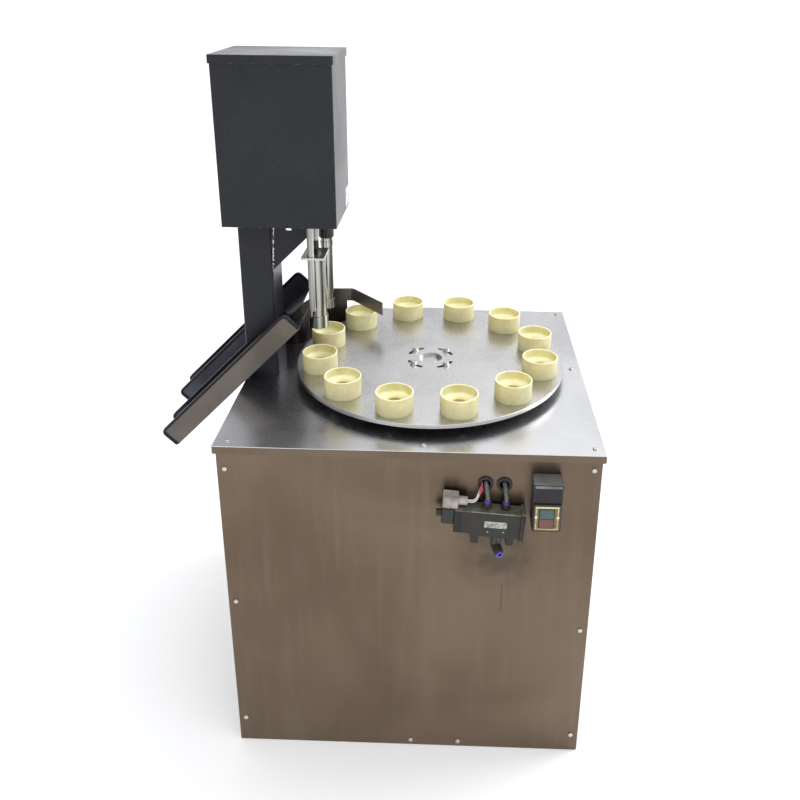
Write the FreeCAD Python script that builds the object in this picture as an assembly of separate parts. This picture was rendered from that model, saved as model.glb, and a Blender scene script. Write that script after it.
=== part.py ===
import FreeCAD, Part
import math
import os
from FreeCAD import Vector

# Floor-standing rotary machine: a sheet-metal cabinet with a turntable of soft cup nests,
# a column with a press head at the left, and two sloping discharge chutes.
# Millimetres.  Origin: centre of the cabinet's footprint on the floor.
# +X to the operator's right, +Y to the back, +Z up.

os.makedirs("parts", exist_ok=True)

# ---------------------------------------------------------------- driving dimensions
LID_W = 700.0
LID_D = 659.0
LID_TOP = 698.0
LID_T = 2.0
LID_SKIRT = 15.0
SHEET_T = 1.5
PANEL_X = 345.0
PANEL_Y = 325.0
PANEL_FLANGE = 12.0
PANEL_LOW = 1.0
PANEL_HIGH = 692.0
BASE_T = 2.0
TUBE = 30.0
TUBE_WALL = 2.0
CORNER_R = 3.0

TABLE_X = 29.0
TABLE_R = 280.0
TABLE_T = 8.0
TABLE_TOP = 722.6
TABLE_HOLE_R = 24.5
SLOT_PITCH_R = 47.5
SLOT_HALF_ANGLE = 22.0
SLOT_R = 4.0

NEST_COUNT = 12
NEST_PITCH_R = 232.8
NEST_FIRST_DEG = 195.0
NEST_STEP_DEG = 30.0
NEST_R = 36.0
NEST_H = 37.7
NEST_RIM_R = 33.0
NEST_BORE_R = 14.0
NEST_DISH_DEPTH = 20.5
NEST_FLOOR_R = 9.0
NEST_SCREW_R = 2.5
NEST_SCREW_L = 12.0
NEST_SCREW_OFF = 24.0

SHAFT_R = 15.0
RUN_GAP = 0.05
HUB_R = 64.0
HUB_BOSS_R = 32.0
HUB_LOW = 702.0
HUB_HOLE_R = 40.0

GEAR_MODULE = 3.0
GEAR_TEETH = 80
PINION_TEETH = 20
GEAR_LOW = 673.0
GEAR_T = 17.0
PRESSURE_DEG = 20.0
TOOTH_GAP = 0.35

DRIVE_PLATE_T = 12.0
DRIVE_PLATE_X = (-200.0, 262.0)
HOUSING_LOW = 580.0
HOUSING_R = 42.0
BEARING_R = 31.0
BEARING_H = 16.0
BEARING_LOW = (582.0, 636.0)
SHAFT_LOW = 574.0
SHAFT_COLLAR_R = 20.0
MOTOR_TOP = 540.0
MOTOR_LOW = 370.0
MOTOR_R = 45.0
MOTOR_SHAFT_R = 10.0
GEARBOX_HALF = 50.0
GEARBOX_FLANGE_HALF = 62.0

CONTROL_X = (-260.0, -80.0)
CONTROL_Z = (330.0, 450.0)
CONTROL_D = 70.0
VENT_ROWS = 9
VENT_LOW = 120.0
VENT_STEP = 16.0
VENT_X = 95.0
VENT_L = 120.0
VENT_H = 6.0
GLAND_X = -240.0
GLAND_Z = 80.0

BOLT_SIZE = 17.0
BOLT_R = 5.0
BOLT_Y = (-37.0, 19.0)
BOLT_INNER_X = -300.0
POST_SCREW_X = 330.0
SIDE_SCREW_Y = 308.0
SCREW_ROWS = (60.0, 354.0, 650.0)

COLUMN_X = (-351.0, -285.0)
COLUMN_Y = (-52.0, 34.0)
COLUMN_WALL = 4.0
COLUMN_TOP = 1180.0
COLUMN_FOOT_T = 12.0
GUSSET_WIDE = 104.0
GUSSET_DEEP = 102.0
GUSSET_T = 6.0
GUSSET_SLOT = (-250.0, 1016.0)

HEAD_X = (-368.0, -148.5)
HEAD_Y = (-98.0, 91.0)
HEAD_LOW = 1033.0
HEAD_TOP = 1351.0
HEAD_BASE_T = 8.0
HEAD_LID_OVER = 2.5
HEAD_LID_SKIRT = 15.5

STROKE = 68.0
FRONT_XY = (-195.9, -60.2)
REAR_XY = (-193.9, 60.2)
TUBE_R = 17.5
TUBE_BORE_R = 15.0
TUBE_RING_R = 19.5
TUBE_RING_H = 25.0
TUBE_LOW = 818.0
CROSSHEAD_X = (-220.0, -175.0)
CROSSHEAD_Y = (-96.0, -29.0)
CROSSHEAD_TOP = 973.0
CROSSHEAD_T = 4.0
FRONT_ROD_R = 6.0
GUIDE_XY = (-202.0, -86.5)
GUIDE_R = 6.5
GUIDE_LOW = 861.0
ROD_NUT = 17.0
ROD_NUT_H = 8.0
REAR_ROD_R = 12.0
REAR_TIP_R = 13.5
REAR_TIP_LOW = 810.0
REAR_TIP_H = 20.0
REAR_NOSE_R = 16.0
REAR_NOSE_LOW = 968.0
REAR_COLLAR_Z = (950.0, 960.0)
CYLINDER_R = 25.0
CYLINDER_BORE_R = 20.0
CYLINDER_SPARE = 42.0
CYLINDER_CAP = 56.0
CYLINDER_CAP_T = 16.0
PISTON_T = 18.0

CHUTE_ANGLE = 45.3
CHUTE_LEN = 376.0
CHUTE_WALL_H = 42.0
CHUTE_CORNER_R = 10.0
CHUTE_END = (-488.5, 567.5)
NEAR_CHUTE_Y = (-119.0, -54.2)
FAR_CHUTE_Y = (36.2, 103.0)
FAR_CHUTE_SHIFT = (-12.0, 9.0)
MOUTH_SPLIT_Y = -16.0
MOUTH_GAP = 3.7
TRIM_W = 5.5
TRIM_OVER = 2.0
TRIM_BITE = 3.5

GUARD_TOP = 795.0
ARM_LOW = 764.5
GUARD_T = 2.0
GUARD_ROUTE = [(-318.0, 104.0), (-262.0, 104.0), (-222.0, 206.0), (-160.0, 210.0), (-84.0, 124.0)]
GUARD_BENDS = [30.0, 30.0, 12.0]
ARM_FROM_X = -174.0

SCREW_HEAD_R = 4.6
SCREW_HEAD_H = 2.6
SCREW_R = 2.0
SCREW_L = 8.0

VALVE_X = (114.0, 203.0)
VALVE_Z = (547.0, 597.0)
VALVE_FRONT = -360.0
HOLE_XZ = [(139.0, 634.0), (172.5, 633.0)]
HOLE_R = 11.0
FITTING_X = [142.0, 175.0]
FITTING_Y = -341.0
AIR_TUBE_R = 4.0
VALVE_TILT = 4.0

SWITCH_X = (221.0, 272.0)
SWITCH_Z = (561.0, 658.0)
SWITCH_FRONT = -361.0
BUTTON_X = (233.0, 258.0)
GREEN_Z = (590.5, 609.5)
RED_Z = (571.0, 590.0)
BUTTON_TRAVEL = 3.0

# ---------------------------------------------------------------- worked-out values
LID_LOW = LID_TOP - LID_T
RAIL_LOW = LID_LOW - TUBE
PLATE_LOW = RAIL_LOW - DRIVE_PLATE_T
FRAME_X = PANEL_X - SHEET_T
FRAME_Y = PANEL_Y - SHEET_T
TABLE_LOW = TABLE_TOP - TABLE_T
GEAR_PITCH_R = GEAR_MODULE * GEAR_TEETH / 2
PINION_PITCH_R = GEAR_MODULE * PINION_TEETH / 2
PINION_X = TABLE_X + GEAR_PITCH_R + PINION_PITCH_R
CYLINDER_LOW = HEAD_LOW + HEAD_BASE_T
CYLINDER_H = STROKE + PISTON_T + 2 * CYLINDER_CAP_T + CYLINDER_SPARE
UP = Vector(0, 0, 1)


# ---------------------------------------------------------------- helpers
def box(x0, x1, y0, y1, z0, z1):
    return Part.makeBox(x1 - x0, y1 - y0, z1 - z0, Vector(x0, y0, z0))


def round_box(x0, x1, y0, y1, z0, z1, radius):
    """A box whose upright edges are rounded."""
    solid = box(x0, x1, y0, y1, z0, z1)
    upright = [e for e in solid.Edges if abs(e.tangentAt(e.FirstParameter).z) > 0.9]
    return solid.makeFillet(radius, upright)


def post(radius, x, y, z0, z1):
    return Part.makeCylinder(radius, z1 - z0, Vector(x, y, z0), UP)


def rod(radius, start, end):
    a = Vector(*start)
    b = Vector(*end)
    return Part.makeCylinder(radius, (b - a).Length, a, b - a)


def ring(outer, inner, x, y, z0, z1):
    return post(outer, x, y, z0, z1).cut(post(inner, x, y, z0 - 1, z1 + 1))


def hexagon(across_flats, x, y, z0, z1):
    corner = across_flats / math.sqrt(3)
    points = [Vector(x + corner * math.cos(math.radians(60 * k)),
                     y + corner * math.sin(math.radians(60 * k)), z0) for k in range(7)]
    return Part.Face(Part.makePolygon(points)).extrude(Vector(0, 0, z1 - z0))


def fuse(shapes):
    solid = shapes[0].multiFuse(shapes[1:])
    return solid.removeSplitter()


def cut_all(solid, tools):
    return solid.cut(Part.makeCompound(tools))


def table_point(radius, degrees):
    angle = math.radians(degrees)
    return TABLE_X + radius * math.cos(angle), radius * math.sin(angle)


def tube_path(points, radii):
    """Straight runs joined by tangent arcs of the given radii, one for each inner point."""
    edges = []
    here = Vector(*points[0])
    for k in range(1, len(points) - 1):
        corner = Vector(*points[k])
        back = (Vector(*points[k - 1]) - corner).normalize()
        onward = (Vector(*points[k + 1]) - corner).normalize()
        turn = math.pi - back.getAngle(onward)
        reach = radii[k - 1] * math.tan(turn / 2)
        enter = corner + back * reach
        leave = corner + onward * reach
        middle_dir = (back + onward).normalize()
        centre_gap = radii[k - 1] / math.cos(turn / 2)
        middle = corner + middle_dir * (centre_gap - radii[k - 1])
        edges.append(Part.LineSegment(here, enter).toShape())
        edges.append(Part.Arc(enter, middle, leave).toShape())
        here = leave
    edges.append(Part.LineSegment(here, Vector(*points[-1])).toShape())
    return Part.Wire(edges)


def sweep_round(points, radii, radius):
    path = tube_path(points, radii)
    direction = Vector(*points[1]) - Vector(*points[0])
    section = Part.Wire(Part.makeCircle(radius, Vector(*points[0]), direction))
    return path.makePipeShell([section], True, False)


def save(node, shape):
    shape.exportStep("parts/" + node + ".step")


def save_group(node, solids):
    save(node, Part.makeCompound(solids))


# ---------------------------------------------------------------- cabinet
def square_tube(start, end, along):
    """A square tube between two opposite corners, its length along axis 0, 1 or 2."""
    a = Vector(*start)
    b = Vector(*end)
    outer = box(a.x, b.x, a.y, b.y, a.z, b.z)
    long_edges = [e for e in outer.Edges if abs(e.tangentAt(e.FirstParameter)[along]) > 0.9]
    wall = [TUBE_WALL, TUBE_WALL, TUBE_WALL]
    wall[along] = -1.0
    inner = box(a.x + wall[0], b.x - wall[0], a.y + wall[1], b.y - wall[1],
                a.z + wall[2], b.z - wall[2])
    return outer.makeFillet(CORNER_R, long_edges).cut(inner)


def frame_members():
    members = []
    for x in (-FRAME_X, FRAME_X - TUBE):
        for y in (-FRAME_Y, FRAME_Y - TUBE):
            members.append(square_tube((x, y, BASE_T), (x + TUBE, y + TUBE, LID_LOW), 2))
    for z in (BASE_T, RAIL_LOW):
        for y in (-FRAME_Y, FRAME_Y - TUBE):
            start = (-FRAME_X + TUBE, y, z)
            members.append(square_tube(start, (FRAME_X - TUBE, y + TUBE, z + TUBE), 0))
        for x in (-FRAME_X, FRAME_X - TUBE):
            start = (x, -FRAME_Y + TUBE, z)
            members.append(square_tube(start, (x + TUBE, FRAME_Y - TUBE, z + TUBE), 1))
    return members


def wrap_panel():
    """A front or back panel: a sheet with both side edges folded back round the frame."""
    outer = box(-PANEL_X, PANEL_X, -PANEL_Y, -PANEL_Y + PANEL_FLANGE, PANEL_LOW, PANEL_HIGH)
    corners = [e for e in outer.Edges
               if abs(e.tangentAt(e.FirstParameter).z) > 0.9 and e.CenterOfMass.y < -PANEL_Y + 1]
    outer = outer.makeFillet(CORNER_R, corners)
    inner = box(-FRAME_X, FRAME_X, -FRAME_Y, -PANEL_Y + PANEL_FLANGE + 1,
                PANEL_LOW - 1, PANEL_HIGH + 1)
    edges = [e for e in inner.Edges
             if abs(e.tangentAt(e.FirstParameter).z) > 0.9 and e.CenterOfMass.y < -FRAME_Y + 1]
    return outer.cut(inner.makeFillet(CORNER_R - SHEET_T, edges))


def screw(x, y, z, direction):
    """A dome-head screw at a panel's outer face, pointing into the panel."""
    way = Vector(*direction)
    face = Vector(x, y, z)
    head = Part.makeCylinder(SCREW_HEAD_R, SCREW_HEAD_H, face - way * SCREW_HEAD_H, way)
    rim = [e for e in head.Edges if (e.CenterOfMass - face).Length > SCREW_HEAD_H / 2
           and e.Closed and e.Curve.TypeId == "Part::GeomCircle"]
    head = head.makeFillet(SCREW_HEAD_H * 0.6, rim)
    shank = Part.makeCylinder(SCREW_R, SCREW_L, face, way)
    return head.fuse(shank)


def screw_hole(x, y, z, direction):
    way = Vector(*direction)
    return Part.makeCylinder(SCREW_R + 0.1, SCREW_L + 2, Vector(x, y, z) - way, way)


def cabinet_screw_places():
    """Every cabinet screw: place on the outer face and the way that it points."""
    front = [(-POST_SCREW_X, z) for z in SCREW_ROWS]
    front += [(POST_SCREW_X, 666), (POST_SCREW_X, 309), (POST_SCREW_X, 42), (6, 14), (102, 14)]
    back = [(side * POST_SCREW_X, z) for side in (-1, 1) for z in SCREW_ROWS] + [(0, 14)]
    places = [(x, -PANEL_Y, z, (0, 1, 0)) for x, z in front]
    places += [(x, PANEL_Y, z, (0, -1, 0)) for x, z in back]
    for side in (-1, 1):
        for z in SCREW_ROWS:
            for y in (-SIDE_SCREW_Y, SIDE_SCREW_Y):
                places.append((side * PANEL_X, y, z, (-side, 0, 0)))
    lid = [(-327, -310), (26, -309), (332, -306), (330, 9), (332, 311), (0, 309), (-327, 310)]
    places += [(x, y, LID_TOP, (0, 0, -1)) for x, y in lid]
    return places


def column_bolt_places():
    """Two bolts through the side rail and two through the lid beside it."""
    rail_x = -FRAME_X + TUBE / 2
    return [(x, y, seat) for x, seat in ((rail_x, RAIL_LOW), (BOLT_INNER_X, LID_LOW)) for y in BOLT_Y]


def column_bolt(x, y, seat):
    head = hexagon(BOLT_SIZE, x, y, seat - 7, seat)
    return head.fuse(post(BOLT_R, x, y, seat, LID_TOP + COLUMN_FOOT_T - 2.0))


def column_bolt_holes():
    return [post(BOLT_R, x, y, seat, LID_TOP + COLUMN_FOOT_T - 2.0)
            for x, y, seat in column_bolt_places()]


def gland_part(radius, start, end):
    """A round length of the mains gland, measured outwards from the back panel."""
    return rod(radius, (GLAND_X, PANEL_Y + start, GLAND_Z), (GLAND_X, PANEL_Y + end, GLAND_Z))


def make_cabinet():
    holes = [screw_hole(*place) for place in cabinet_screw_places()]
    bolt_holes = column_bolt_holes()

    base = round_box(-FRAME_X, FRAME_X, -FRAME_Y, FRAME_Y, 0, BASE_T, CORNER_R)
    save("base_plate", base)

    members = [cut_all(member, holes + bolt_holes) for member in frame_members()]
    save_group("cabinet_frame", members)

    front = wrap_panel()
    ports = [rod(HOLE_R, (x, -PANEL_Y - 2, z), (x, -PANEL_Y + 4, z)) for x, z in HOLE_XZ]
    save("front_panel", cut_all(front, holes + ports))

    back = wrap_panel().mirror(Vector(0, 0, 0), Vector(0, 1, 0))
    slots = []
    for row in range(VENT_ROWS):
        z = VENT_LOW + VENT_STEP * row
        for middle in (-VENT_X, VENT_X):
            slots.append(box(middle - VENT_L / 2, middle + VENT_L / 2, PANEL_Y - 4, PANEL_Y + 2,
                             z, z + VENT_H))
    gland_hole = gland_part(10.0, -4, 2)
    save("back_panel", cut_all(back, holes + slots + [gland_hole]))

    side_y = PANEL_Y - PANEL_FLANGE - 0.4
    for name, x0, x1 in (("left_panel", -PANEL_X, -FRAME_X), ("right_panel", FRAME_X, PANEL_X)):
        panel = box(x0, x1, -side_y, side_y, PANEL_LOW, PANEL_HIGH)
        save(name, cut_all(panel, holes))

    lid = round_box(-LID_W / 2, LID_W / 2, -LID_D / 2, LID_D / 2, LID_TOP - LID_SKIRT, LID_TOP, CORNER_R)
    top_edges = [e for e in lid.Edges if abs(e.CenterOfMass.z - LID_TOP) < 0.01]
    lid = lid.makeFillet(LID_T * 0.7, top_edges)
    inside = box(-LID_W / 2 + LID_T, LID_W / 2 - LID_T, -LID_D / 2 + LID_T, LID_D / 2 - LID_T,
                 LID_TOP - LID_SKIRT - 1, LID_LOW)
    hub_hole = post(HUB_HOLE_R, TABLE_X, 0, LID_LOW - 1, LID_TOP + 1)
    save("lid", cut_all(lid, [inside, hub_hole] + holes + bolt_holes))

    fasteners = [screw(*place) for place in cabinet_screw_places()]
    fasteners += [column_bolt(*place) for place in column_bolt_places()]
    save_group("cabinet_fasteners", fasteners)

    entries = []
    for x, z in HOLE_XZ:
        outer = rod(HOLE_R + 3, (x, -PANEL_Y - 2.5, z), (x, -PANEL_Y, z))
        outer = outer.fuse(rod(HOLE_R, (x, -PANEL_Y, z), (x, -FRAME_Y, z)))
        outer = outer.fuse(rod(HOLE_R + 3, (x, -FRAME_Y, z), (x, -FRAME_Y + 2, z)))
        bore = rod(HOLE_R - 2.5, (x, -PANEL_Y - 4, z), (x, -FRAME_Y + 4, z))
        entries.append(outer.cut(bore))
    inner_end = FRAME_Y - PANEL_Y - 6
    gland = fuse([gland_part(16.0, 0, 8), gland_part(12.0, 8, 20), gland_part(10.0, inner_end, 0)])
    entries.append(gland.cut(gland_part(4.5, inner_end - 2, 22)))
    save_group("cable_entries", entries)

    ear = 10.0
    control = round_box(*CONTROL_X, FRAME_Y - CONTROL_D, FRAME_Y, *CONTROL_Z, 6)
    ears = box(CONTROL_X[0] - ear, CONTROL_X[1] + ear, FRAME_Y - 3, FRAME_Y,
               CONTROL_Z[0] + ear, CONTROL_Z[1] - ear)
    save("control_unit", control.fuse(ears))


# ---------------------------------------------------------------- turntable and its drive
def gear_outline(teeth, turn_deg):
    """Closed outline of an involute spur gear, a little thinned for backlash."""
    pitch = GEAR_MODULE * teeth / 2
    base = pitch * math.cos(math.radians(PRESSURE_DEG))
    root = pitch - 1.25 * GEAR_MODULE
    tip = pitch + GEAR_MODULE

    def roll(radius):
        if radius <= base:
            return 0.0
        slope = math.acos(base / radius)
        return math.tan(slope) - slope

    half = math.pi / (2 * teeth) - TOOTH_GAP / (2 * pitch)
    at_pitch = roll(pitch)
    flank_steps = 5
    low = max(root, base)
    radii = [low + (tip - low) * k / flank_steps for k in range(flank_steps + 1)]
    points = []
    for tooth in range(teeth):
        middle = math.radians(turn_deg) + 2 * math.pi * tooth / teeth
        left = [(r, middle - half - at_pitch + roll(r)) for r in radii]
        right = [(r, middle + half + at_pitch - roll(r)) for r in reversed(radii)]
        if root < base:
            left = [(root, left[0][1])] + left
            right = right + [(root, right[-1][1])]
        points += left + right
    corners = [Vector(r * math.cos(a), r * math.sin(a), 0) for r, a in points]
    return corners + [corners[0]]


def spur_gear(teeth, turn_deg, x, y, z, thick):
    blank = Part.Face(Part.makePolygon(gear_outline(teeth, turn_deg)))
    solid = blank.extrude(Vector(0, 0, thick))
    solid.translate(Vector(x, y, z))
    return solid


def cup_nest(degrees):
    """A soft cup: rounded lip, flat floor with a rounded corner, and a straight bore."""
    rim = NEST_H
    floor = NEST_H - NEST_DISH_DEPTH
    lip = (NEST_R - NEST_RIM_R) / 2
    lean = NEST_FLOOR_R * math.sin(math.radians(45))
    turn_x = NEST_RIM_R - NEST_FLOOR_R
    turn_z = floor + NEST_FLOOR_R
    lip_inner = Vector(NEST_RIM_R, 0, rim - lip)
    lip_outer = Vector(NEST_R, 0, rim - lip)
    wall_foot = Vector(NEST_RIM_R, 0, turn_z)
    floor_edge = Vector(turn_x, 0, floor)
    corners = [floor_edge, Vector(NEST_BORE_R, 0, floor), Vector(NEST_BORE_R, 0, 0),
               Vector(NEST_R, 0, 0), lip_outer]
    edges = [Part.LineSegment(a, b).toShape() for a, b in zip(corners, corners[1:])]
    edges.append(Part.Arc(lip_outer, Vector(NEST_RIM_R + lip, 0, rim), lip_inner).toShape())
    edges.append(Part.LineSegment(lip_inner, wall_foot).toShape())
    edges.append(Part.Arc(wall_foot, Vector(turn_x + lean, 0, turn_z - lean), floor_edge).toShape())
    face = Part.Face(Part.Wire(edges))
    solid = face.revolve(Vector(0, 0, 0), UP, 360)
    x, y = table_point(NEST_PITCH_R, degrees)
    solid.translate(Vector(x, y, TABLE_TOP))
    return solid


def nest_screw_places():
    places = []
    for k in range(NEST_COUNT):
        degrees = NEST_FIRST_DEG - NEST_STEP_DEG * k
        for radius in (NEST_PITCH_R - NEST_SCREW_OFF, NEST_PITCH_R + NEST_SCREW_OFF):
            places.append(table_point(radius, degrees))
    return places


def arc_slot(degrees):
    """A curved slot through the disc, centred on one bolt."""
    band = ring(SLOT_PITCH_R + SLOT_R, SLOT_PITCH_R - SLOT_R, TABLE_X, 0, TABLE_LOW - 1, TABLE_TOP + 1)
    reach = 3 * SLOT_PITCH_R
    centre = Vector(TABLE_X, 0, TABLE_LOW - 1)
    sides = [centre]
    for turn in (-SLOT_HALF_ANGLE, SLOT_HALF_ANGLE):
        angle = math.radians(degrees + turn)
        sides.append(centre + Vector(reach * math.cos(angle), reach * math.sin(angle), 0))
    wedge = Part.Face(Part.makePolygon(sides + [centre])).extrude(Vector(0, 0, TABLE_T + 2))
    slot = band.common(wedge)
    ends = []
    for turn in (-SLOT_HALF_ANGLE, SLOT_HALF_ANGLE):
        x, y = table_point(SLOT_PITCH_R, degrees + turn)
        ends.append(post(SLOT_R, x, y, TABLE_LOW - 1, TABLE_TOP + 1))
    return slot.multiFuse(ends)


def make_turntable():
    bolt_degrees = [45, 135, 225, 315]
    disc = post(TABLE_R, TABLE_X, 0, TABLE_LOW, TABLE_TOP)
    disc = disc.makeFillet(0.8, [e for e in disc.Edges if e.Curve.TypeId == "Part::GeomCircle"])
    holes = [post(TABLE_HOLE_R, TABLE_X, 0, TABLE_LOW - 1, TABLE_TOP + 1)]
    holes += [arc_slot(d) for d in bolt_degrees]
    holes += [post(NEST_SCREW_R, x, y, TABLE_LOW - 1, TABLE_TOP + 1) for x, y in nest_screw_places()]
    save("table_disc", cut_all(disc, holes))

    hub = post(HUB_R, TABLE_X, 0, HUB_LOW, TABLE_LOW)
    hub = hub.fuse(post(HUB_BOSS_R, TABLE_X, 0, GEAR_LOW + GEAR_T, HUB_LOW))
    tools = [post(SHAFT_R, TABLE_X, 0, GEAR_LOW, TABLE_LOW + 1)]
    for d in bolt_degrees:
        x, y = table_point(SLOT_PITCH_R, d)
        tools.append(post(3.0, x, y, HUB_LOW, TABLE_LOW + 1))
    save("table_hub", cut_all(hub, tools))

    shaft = post(SHAFT_R, TABLE_X, 0, SHAFT_LOW, TABLE_LOW + 2)
    shaft = shaft.makeChamfer(1.0, [e for e in shaft.Edges if e.Curve.TypeId == "Part::GeomCircle"])
    shaft = shaft.fuse(post(SHAFT_COLLAR_R, TABLE_X, 0, BEARING_LOW[1] + BEARING_H + 0.2, GEAR_LOW))
    save("table_shaft", shaft)

    fasteners = []
    for d in bolt_degrees:
        x, y = table_point(SLOT_PITCH_R, d)
        bolt = post(8.0, x, y, TABLE_TOP, TABLE_TOP + 1.5)
        bolt = bolt.fuse(hexagon(10.0, x, y, TABLE_TOP + 1.5, TABLE_TOP + 6.5))
        fasteners.append(bolt.fuse(post(3.0, x, y, HUB_LOW + 1, TABLE_TOP + 1.5)))
    for x, y in nest_screw_places():
        head = post(4.2, x, y, TABLE_LOW - 2.6, TABLE_LOW)
        fasteners.append(head.fuse(post(NEST_SCREW_R, x, y, TABLE_LOW, TABLE_TOP + NEST_SCREW_L)))
    save_group("table_fasteners", fasteners)

    nest_holes = [post(NEST_SCREW_R, x, y, TABLE_TOP - 1, TABLE_TOP + NEST_SCREW_L)
                  for x, y in nest_screw_places()]
    for k in range(NEST_COUNT):
        nest = cup_nest(NEST_FIRST_DEG - NEST_STEP_DEG * k)
        save("cup_nest_%02d" % (k + 1), cut_all(nest, nest_holes[2 * k:2 * k + 2]))

    gear = spur_gear(GEAR_TEETH, 0, TABLE_X, 0, GEAR_LOW, GEAR_T)
    lightening = [post(22, *table_point(72, 60 * k), GEAR_LOW - 1, GEAR_LOW + GEAR_T + 1)
                  for k in range(6)]
    bore = post(SHAFT_R, TABLE_X, 0, GEAR_LOW - 1, GEAR_LOW + GEAR_T + 1)
    save("table_gear", cut_all(gear, lightening + [bore]))


def make_drive():
    flange_t = 12.0
    bolt_r = 4.0
    flange_bolts = [table_point(HOUSING_R + 8, degrees) for degrees in (45, 135, 225, 315)]
    plate = box(*DRIVE_PLATE_X, -FRAME_Y, FRAME_Y, PLATE_LOW, RAIL_LOW)
    holes = [post(SHAFT_COLLAR_R + 6, TABLE_X, 0, PLATE_LOW - 1, RAIL_LOW + 1),
             post(MOTOR_SHAFT_R + 6, PINION_X, 0, PLATE_LOW - 1, RAIL_LOW + 1)]
    holes += [post(bolt_r, x, y, PLATE_LOW - 1, RAIL_LOW + 1) for x, y in flange_bolts]
    save("drive_plate", cut_all(plate, holes))

    flange_low = PLATE_LOW - flange_t
    low_seat_top = BEARING_LOW[0] + BEARING_H
    housing = post(HOUSING_R, TABLE_X, 0, HOUSING_LOW, flange_low)
    housing = housing.fuse(post(HOUSING_R + 18, TABLE_X, 0, flange_low, PLATE_LOW))
    tools = [post(BEARING_R, TABLE_X, 0, HOUSING_LOW - 1, low_seat_top),
             post(BEARING_R - 6, TABLE_X, 0, low_seat_top - 1, BEARING_LOW[1] + 1),
             post(BEARING_R, TABLE_X, 0, BEARING_LOW[1], PLATE_LOW + 1)]
    tools += [post(bolt_r, x, y, flange_low - 1, PLATE_LOW + 1) for x, y in flange_bolts]
    save("bearing_housing", cut_all(housing, tools))
    bearings = [ring(BEARING_R, SHAFT_R + RUN_GAP, TABLE_X, 0, z, z + BEARING_H) for z in BEARING_LOW]
    save_group("table_bearings", bearings)

    flange_low = PLATE_LOW - 10
    shaft_low = 605.0
    gearbox = round_box(PINION_X - GEARBOX_HALF, PINION_X + GEARBOX_HALF, -GEARBOX_HALF, GEARBOX_HALF,
                        MOTOR_TOP, flange_low, 8)
    wide = GEARBOX_FLANGE_HALF
    gearbox = gearbox.fuse(round_box(PINION_X - wide, PINION_X + wide, -wide, wide,
                                     flange_low, PLATE_LOW, 10))
    bore = post(MOTOR_SHAFT_R + RUN_GAP, PINION_X, 0, shaft_low - 5, PLATE_LOW + 1)
    save("reduction_gearbox", gearbox.cut(bore))

    cover_top = MOTOR_LOW + 34
    fin_x = MOTOR_R + 3.5
    motor = post(MOTOR_R, PINION_X, 0, cover_top - 12, MOTOR_TOP)
    fins = []
    for k in range(12):
        fin = box(PINION_X - fin_x, PINION_X + fin_x, -1, 1, cover_top + 6, MOTOR_TOP - 20)
        fin.rotate(Vector(PINION_X, 0, 0), UP, 15 * k)
        fins.append(fin)
    terminal = round_box(PINION_X + MOTOR_R - 5, PINION_X + MOTOR_R + 29, -30, 30,
                         MOTOR_TOP - 100, MOTOR_TOP - 30, 4)
    fan_cover = post(MOTOR_R + 2, PINION_X, 0, MOTOR_LOW, cover_top)
    save("drive_motor", motor.multiFuse(fins + [terminal, fan_cover]))

    half_tooth = 180.0 / PINION_TEETH
    pinion = spur_gear(PINION_TEETH, half_tooth, PINION_X, 0, GEAR_LOW, GEAR_T)
    save("drive_pinion", pinion.fuse(post(MOTOR_SHAFT_R, PINION_X, 0, shaft_low, GEAR_LOW)))


# ---------------------------------------------------------------- column and head
def make_column():
    column = round_box(*COLUMN_X, *COLUMN_Y, LID_TOP, COLUMN_TOP, 5)
    inside = round_box(COLUMN_X[0] + COLUMN_WALL, COLUMN_X[1] - COLUMN_WALL,
                       COLUMN_Y[0] + COLUMN_WALL, COLUMN_Y[1] - COLUMN_WALL,
                       LID_TOP + COLUMN_FOOT_T, COLUMN_TOP + 1, 1.5)
    save("column", cut_all(column.cut(inside), column_bolt_holes()))

    y0 = COLUMN_Y[0] + 1.0
    y1 = y0 + GUSSET_T
    corner = Vector(COLUMN_X[1], y0, HEAD_LOW)
    wide = Vector(COLUMN_X[1] + GUSSET_WIDE, y0, HEAD_LOW)
    deep = Vector(COLUMN_X[1], y0, HEAD_LOW - GUSSET_DEEP)
    blade = Part.Face(Part.makePolygon([corner, wide, deep, corner])).extrude(Vector(0, GUSSET_T, 0))
    slot_x, slot_z = GUSSET_SLOT
    slot = box(slot_x - 3, slot_x + 3, y0 - 1, y1 + 1, slot_z - 3, slot_z + 3)
    for x in (slot_x - 3, slot_x + 3):
        slot = slot.fuse(rod(3, (x, y0 - 1, slot_z), (x, y1 + 1, slot_z)))
    save("column_gusset", blade.cut(slot))


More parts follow.
